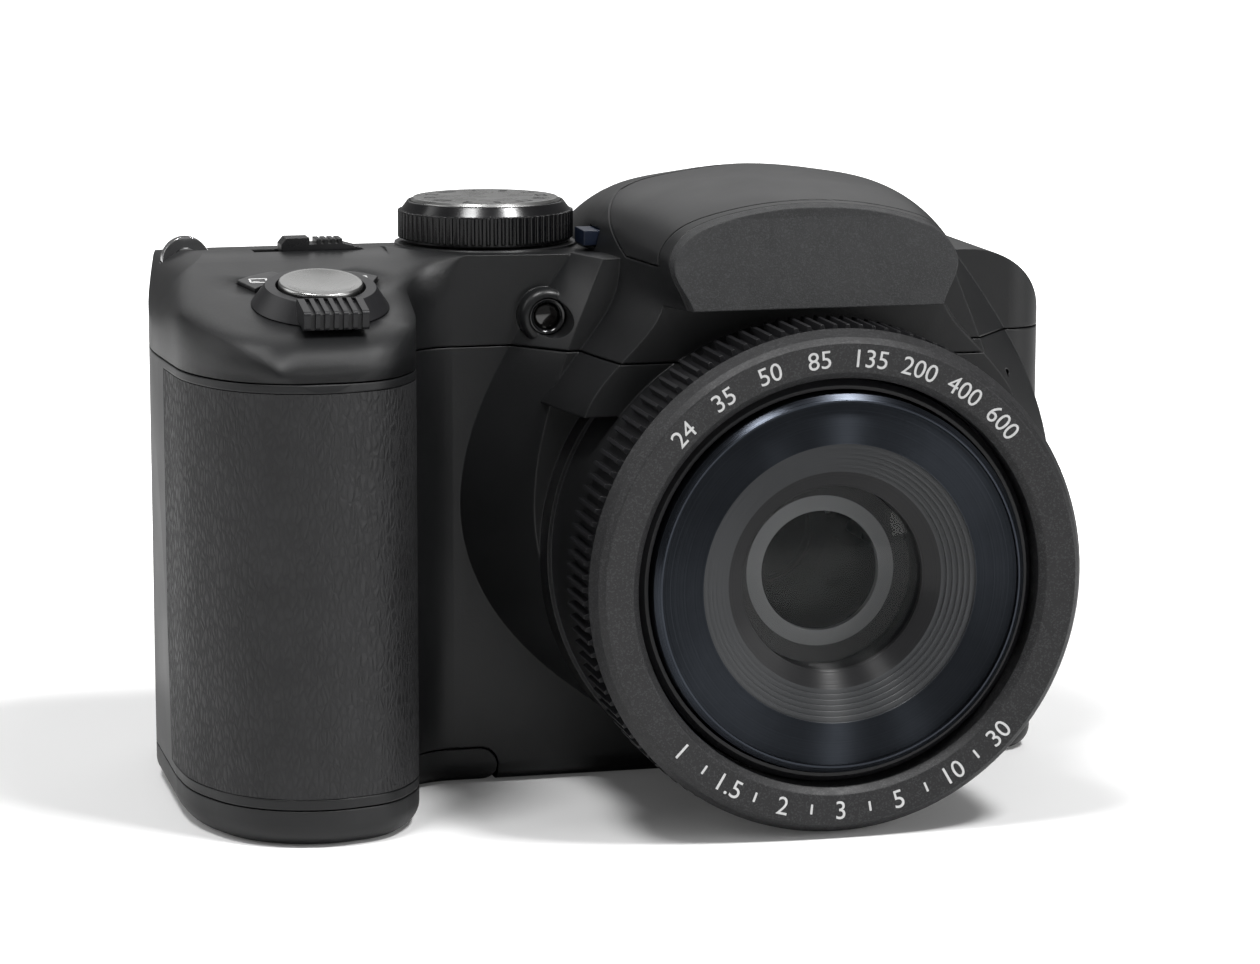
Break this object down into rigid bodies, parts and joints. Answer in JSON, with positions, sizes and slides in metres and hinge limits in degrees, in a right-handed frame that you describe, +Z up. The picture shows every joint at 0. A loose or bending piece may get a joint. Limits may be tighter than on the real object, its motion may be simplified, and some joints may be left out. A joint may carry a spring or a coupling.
{
  "type": "bridge camera",
  "caption": "Black bridge camera with a large retracting zoom lens, pop-up flash, mode dial, rear screen and a deep grip that holds the battery cells.",
  "frame": {"origin": "centre of the tripod socket's mouth, in the plane of the base", "axes": "+Z up, -Y along the lens axis towards the subject, +X from the grip towards the lens side, seen from the front"},
  "size_m": [0.1176, 0.0795, 0.0782],
  "materials": {
    "shell_black": "fine-textured matte black",
    "brow_black": "coarse speckled matte black",
    "grip_rubber": "pebbled leather grain",
    "trim_black": "smooth black, half gloss",
    "ring_black": "satin black",
    "barrel_blue": "satin, dark blue anodised",
    "front_plate_blue": "circular brushed, dark blue-black anodised",
    "baffle_grey": "matte grey",
    "lens_glass": "coated",
    "silver": "brushed silver",
    "bright_chrome": "polished",
    "steel": "machined",
    "contact_brass": "satin",
    "cell_wrap": "satin sleeve",
    "board_green": "lacquered board",
    "sensor_dark": "glossy dark",
    "flash_white": "bright reflector",
    "clear_window": "clear, ribbed",
    "button_blue": "dark blue, satin",
    "screen_glass": "smoked, glossy",
    "panel_grey": "matte grey",
    "card_blue": "matte blue",
    "lamp_amber": "dark amber lens"
  },
  "bodies": {
    "camera_body": {"front_cover": "shell_black", "top_cover": "shell_black", "rear_cover": "shell_black", "grip_skin": "grip_rubber", "brow_plate": "brow_black", "thumb_pad": "grip_rubber", "lens_fixed_barrel": "ring_black", "knurled_ring": "ring_black", "front_bezel_ring": "ring_black", "lens_rear_plate": "ring_black", "image_sensor": "sensor_dark", "focus_guide_rods": "steel", "zoom_motor": "steel", "flash_capacitor": "trim_black", "top_switch_board": "board_green", "battery_box": "panel_grey", "battery_cells": "cell_wrap", "battery_contacts": "contact_brass", "card_slot": "steel", "memory_card": "card_blue", "tripod_bush": "steel", "case_screws": "steel", "hinge_pins": "steel", "side_sockets": "steel", "screen_window": "screen_glass", "screen_panel": "panel_grey", "main_board": "board_green", "rear_key_board": "board_green", "focus_lamp_window": "lamp_amber", "strap_lugs": "bright_chrome"},
    "cam_ring": {"cam_ring": "ring_black"},
    "outer_barrel": {"outer_zoom_barrel": "ring_black"},
    "inner_barrel": {"inner_zoom_barrel": "barrel_blue", "lens_front_plate": "front_plate_blue", "front_lens_group": "lens_glass", "baffle_ring": "baffle_grey"},
    "focus_group": {"focus_carrier": "ring_black", "focus_lens": "lens_glass"},
    "flash_lid": {"flash_lid": "shell_black", "flash_head": "flash_white", "flash_window": "clear_window", "flash_tube": "clear_window"},
    "flash_button": {"flash_button": "button_blue"},
    "mode_dial": {"mode_dial": "trim_black", "mode_dial_plate": "silver"},
    "shutter_button": {"shutter_button": "bright_chrome"},
    "zoom_lever": {"zoom_lever": "trim_black"},
    "exposure_button": {"exposure_button": "shell_black"},
    "burst_button": {"burst_button": "shell_black"},
    "power_slider": {"power_slider": "shell_black"},
    "battery_door": {"battery_door": "shell_black", "door_contacts": "contact_brass"},
    "battery_door_latch": {"battery_door_latch": "trim_black"},
    "port_door": {"port_door": "shell_black"},
    "record_button": {"record_button": "trim_black"},
    "menu_button": {"menu_button": "trim_black"},
    "display_button": {"display_button": "trim_black"},
    "play_button": {"play_button": "trim_black"},
    "control_pad": {"control_pad": "trim_black"},
    "ok_button": {"ok_button": "trim_black"}
  },
  "joints": [
    {"name": "outer_barrel_slide", "type": "slide", "parent": "camera_body", "child": "outer_barrel", "axis": [0, -1, 0], "range_m": [0, 0.02]},
    {"name": "inner_barrel_slide", "type": "slide", "parent": "outer_barrel", "child": "inner_barrel", "axis": [0, -1, 0], "range_m": [0, 0.02001]},
    {"name": "zoom_cam_turn", "type": "hinge", "parent": "camera_body", "child": "cam_ring", "pos_m": [0, -0.018, 0.0313], "axis": [0, 1, 0], "range_deg": [0, 100.05]},
    {"name": "focus_slide", "type": "slide", "parent": "camera_body", "child": "focus_group", "axis": [0, -1, 0], "range_m": [0, 0.008]},
    {"name": "flash_lid_hinge", "type": "hinge", "parent": "camera_body", "child": "flash_lid", "pos_m": [0, -0.0094, 0.07625], "axis": [-1, 0, 0], "range_deg": [0, 35]},
    {"name": "flash_button_press", "type": "slide", "parent": "camera_body", "child": "flash_button", "axis": [1, 0, 0], "range_m": [0, 0.0008], "stiffness_N_per_m": 400},
    {"name": "mode_dial_turn", "type": "hinge", "parent": "camera_body", "child": "mode_dial", "pos_m": [-0.0328, -0.0037, 0.068], "axis": [0, 0, 1], "continuous": true},
    {"name": "shutter_press", "type": "slide", "parent": "camera_body", "child": "shutter_button", "axis": [0, 0.1994, -0.9799], "range_m": [0, 0.0008], "stiffness_N_per_m": 400},
    {"name": "zoom_lever_turn", "type": "hinge", "parent": "camera_body", "child": "zoom_lever", "pos_m": [-0.0586, -0.0286, 0.06361], "axis": [0, -0.1994, 0.9799], "range_deg": [-20, 20], "stiffness_Nm_per_rad": 0.02},
    {"name": "exposure_button_press", "type": "slide", "parent": "camera_body", "child": "exposure_button", "axis": [0, 0.1994, -0.9799], "range_m": [0, 0.0005], "stiffness_N_per_m": 500},
    {"name": "burst_button_press", "type": "slide", "parent": "camera_body", "child": "burst_button", "axis": [0, 0.1994, -0.9799], "range_m": [0, 0.0005], "stiffness_N_per_m": 500},
    {"name": "power_slider_slide", "type": "slide", "parent": "camera_body", "child": "power_slider", "axis": [-1, 0, 0], "range_m": [0, 0.0032]},
    {"name": "battery_door_hinge", "type": "hinge", "parent": "camera_body", "child": "battery_door", "pos_m": [-0.0369, -0.018, 0.0023], "axis": [0, -1, 0], "range_deg": [0, 92]},
    {"name": "door_latch_slide", "type": "slide", "parent": "battery_door", "child": "battery_door_latch", "axis": [0, 1, 0], "range_m": [0, 0.002]},
    {"name": "port_door_hinge", "type": "hinge", "parent": "camera_body", "child": "port_door", "pos_m": [0.03785, -0.00815, 0.034], "axis": [0, 0, -1], "range_deg": [0, 95]},
    {"name": "record_button_press", "type": "slide", "parent": "camera_body", "child": "record_button", "axis": [0, -1, 0], "range_m": [0, 0.0005], "stiffness_N_per_m": 500},
    {"name": "menu_button_press", "type": "slide", "parent": "camera_body", "child": "menu_button", "axis": [0, -1, 0], "range_m": [0, 0.0005], "stiffness_N_per_m": 500},
    {"name": "display_button_press", "type": "slide", "parent": "camera_body", "child": "display_button", "axis": [0, -1, 0], "range_m": [0, 0.0005], "stiffness_N_per_m": 500},
    {"name": "play_button_press", "type": "slide", "parent": "camera_body", "child": "play_button", "axis": [0, -1, 0], "range_m": [0, 0.0005], "stiffness_N_per_m": 500},
    {"name": "control_pad_press", "type": "slide", "parent": "camera_body", "child": "control_pad", "axis": [0, -1, 0], "range_m": [0, 0.0005], "stiffness_N_per_m": 600},
    {"name": "ok_button_press", "type": "slide", "parent": "camera_body", "child": "ok_button", "axis": [0, -1, 0], "range_m": [0, 0.0005], "stiffness_N_per_m": 500}
  ],
  "couplings": [
    {"joint": "zoom_cam_turn", "follows": "outer_barrel_slide", "rad_per_m": 87.266},
    {"joint": "inner_barrel_slide", "follows": "outer_barrel_slide", "ratio": 1}
  ]
}
